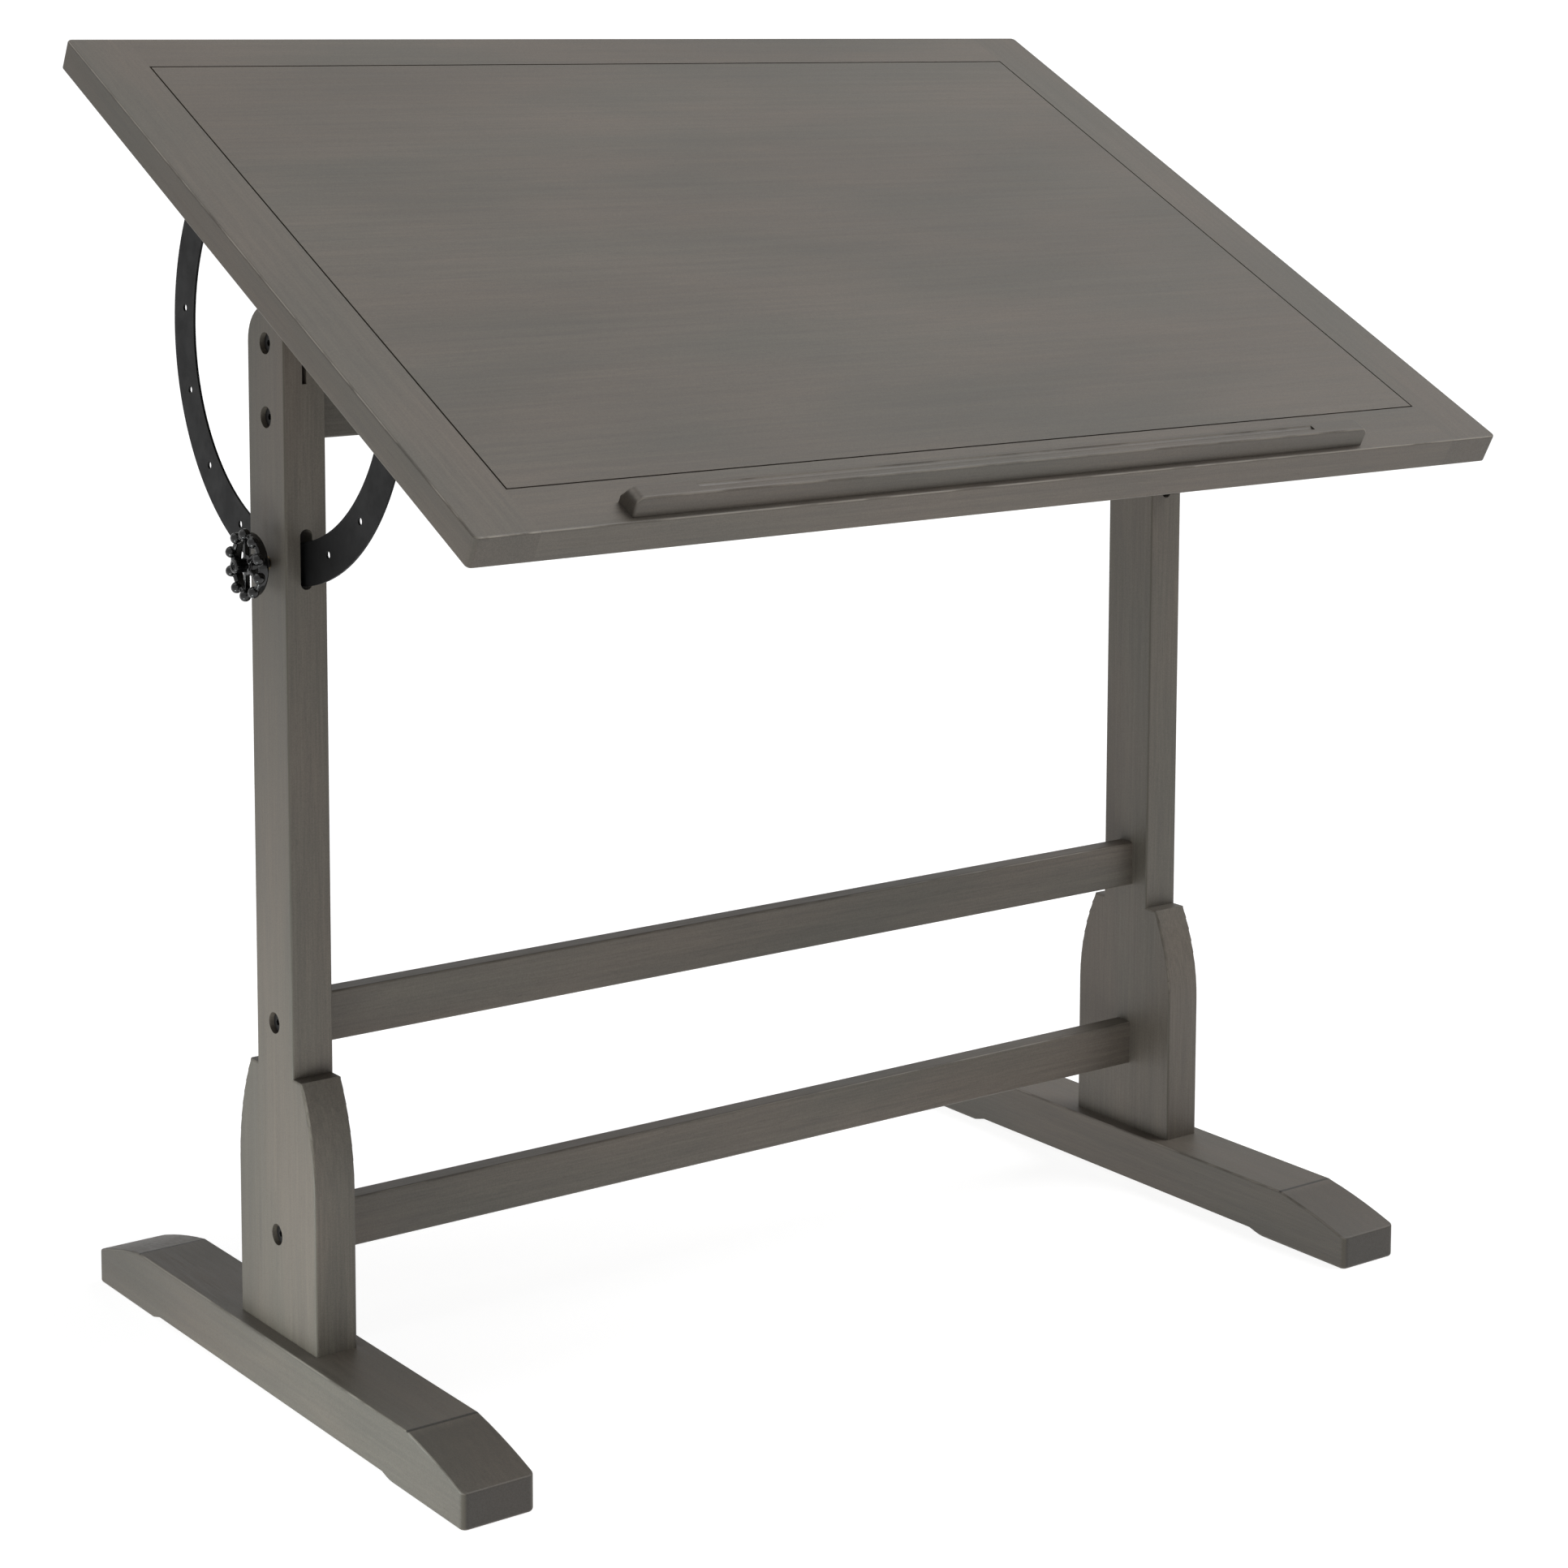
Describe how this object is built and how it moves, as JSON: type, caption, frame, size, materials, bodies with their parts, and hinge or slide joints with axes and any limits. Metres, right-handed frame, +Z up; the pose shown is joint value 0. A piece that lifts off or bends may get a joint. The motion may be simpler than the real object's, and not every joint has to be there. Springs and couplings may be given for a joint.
{
  "type": "drafting table",
  "caption": "Drafting table with a framed wooden top that tilts on steel arcs between slotted legs, locked by a handwheel knob, with a pencil ledge along the front edge.",
  "frame": {"origin": "on the floor, under the centre of the table's bounding box with the top at its 27.5 degree drawing tilt; the legs' mid plane is 38.4 mm behind it", "axes": "+X to the sitter's right, +Y away from the sitter, +Z up"},
  "size_m": [1.0668, 0.7208, 1.1299],
  "materials": {
    "leg_wood": "grey-brown stained hardwood, satin",
    "rail_wood": "grey-brown stained hardwood, satin",
    "panel_wood": "grey-brown stained veneer, satin",
    "stile_wood": "grey-brown stained hardwood, satin",
    "border_wood": "grey-brown stained hardwood, satin",
    "ledge_wood": "grey-brown stained hardwood, satin",
    "cleat_wood": "grey-brown stained softwood",
    "raw_wood": "unfinished beech",
    "black_steel": "satin black powder coat",
    "black_bolt": "black oxide on steel",
    "black_cast_iron": "gloss black paint over a casting",
    "brass_insert": "turned brass",
    "zinc_steel": "bright zinc plate"
  },
  "bodies": {
    "stand": {"lower_stretcher": "rail_wood", "upper_stretcher": "rail_wood", "top_rail": "rail_wood", "left_foot": "leg_wood", "right_foot": "leg_wood", "left_foot_pads": "leg_wood", "right_foot_pads": "leg_wood", "left_leg": "leg_wood", "right_leg": "leg_wood", "left_leg_bolts": "black_bolt", "right_leg_bolts": "black_bolt", "left_pivot_bolt": "black_bolt", "right_pivot_bolt": "black_bolt", "left_barrel_nuts": "zinc_steel", "right_barrel_nuts": "zinc_steel", "left_rail_dowels": "raw_wood", "right_rail_dowels": "raw_wood", "left_foot_bolts": "black_bolt", "right_foot_bolts": "black_bolt", "left_foot_inserts": "brass_insert", "right_foot_inserts": "brass_insert", "knob_insert": "brass_insert"},
    "top": {"top_panel": "panel_wood", "front_rail": "border_wood", "rear_rail": "border_wood", "frame_dowels": "raw_wood", "pencil_ledge": "ledge_wood", "ledge_screws": "zinc_steel", "left_stile": "stile_wood", "right_stile": "stile_wood", "left_cleat": "cleat_wood", "right_cleat": "cleat_wood", "left_cleat_screws": "zinc_steel", "right_cleat_screws": "zinc_steel", "left_arc_plate": "black_steel", "right_arc_plate": "black_steel", "left_arc_screws": "black_steel", "right_arc_screws": "black_steel"},
    "knob_slider": {"knob_washer": "black_bolt"},
    "knob": {"handwheel": "black_cast_iron", "knob_stud": "black_bolt"}
  },
  "joints": [
    {"name": "top_tilt", "type": "hinge", "parent": "stand", "child": "top", "pos_m": [0, 0.03843, 0.886], "axis": [1, 0, 0], "range_deg": [-27.5, 42.5]},
    {"name": "knob_travel", "type": "slide", "parent": "stand", "child": "knob_slider", "axis": [-1, 0, 0], "range_m": [-0.00751, 0.00126]},
    {"name": "knob_turn", "type": "hinge", "parent": "knob_slider", "child": "knob", "pos_m": [-0.514, 0.03843, 0.7055], "axis": [-1, 0, 0], "range_deg": [-2160, 360]}
  ],
  "couplings": [
    {"joint": "knob_travel", "follows": "knob_turn", "m_per_rad": 0.00019894}
  ]
}
